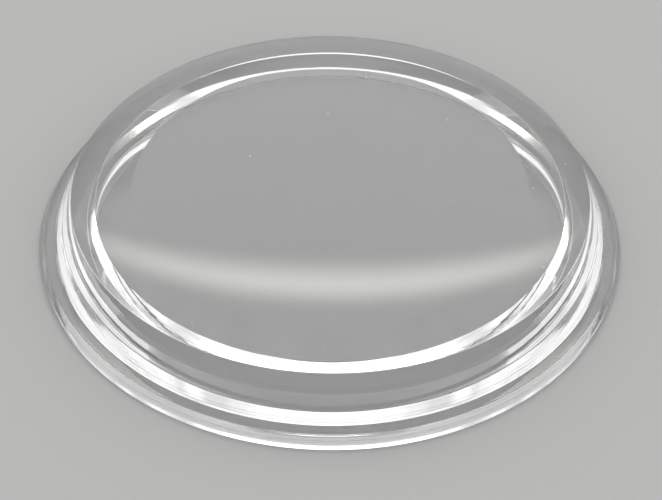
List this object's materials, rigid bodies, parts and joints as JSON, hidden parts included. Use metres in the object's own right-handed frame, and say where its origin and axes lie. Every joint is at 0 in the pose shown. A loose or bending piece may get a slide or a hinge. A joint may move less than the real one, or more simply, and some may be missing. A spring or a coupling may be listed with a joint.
{
  "type": "watch crystal",
  "caption": "Clear round watch crystal, hollow below, with a clamping flange, leaning wall, bevelled edge and low dome.",
  "frame": {"origin": "centre of the seat face, which is the underside of the flange", "axes": "+Z along the axis of revolution, up through the dome"},
  "size_m": [0.032, 0.032, 0.0038],
  "materials": {
    "clear_acrylic": "polished clear acrylic, with faint turning marks on the wall"
  },
  "bodies": {
    "root": {"crystal": "clear_acrylic"}
  },
  "joints": []
}
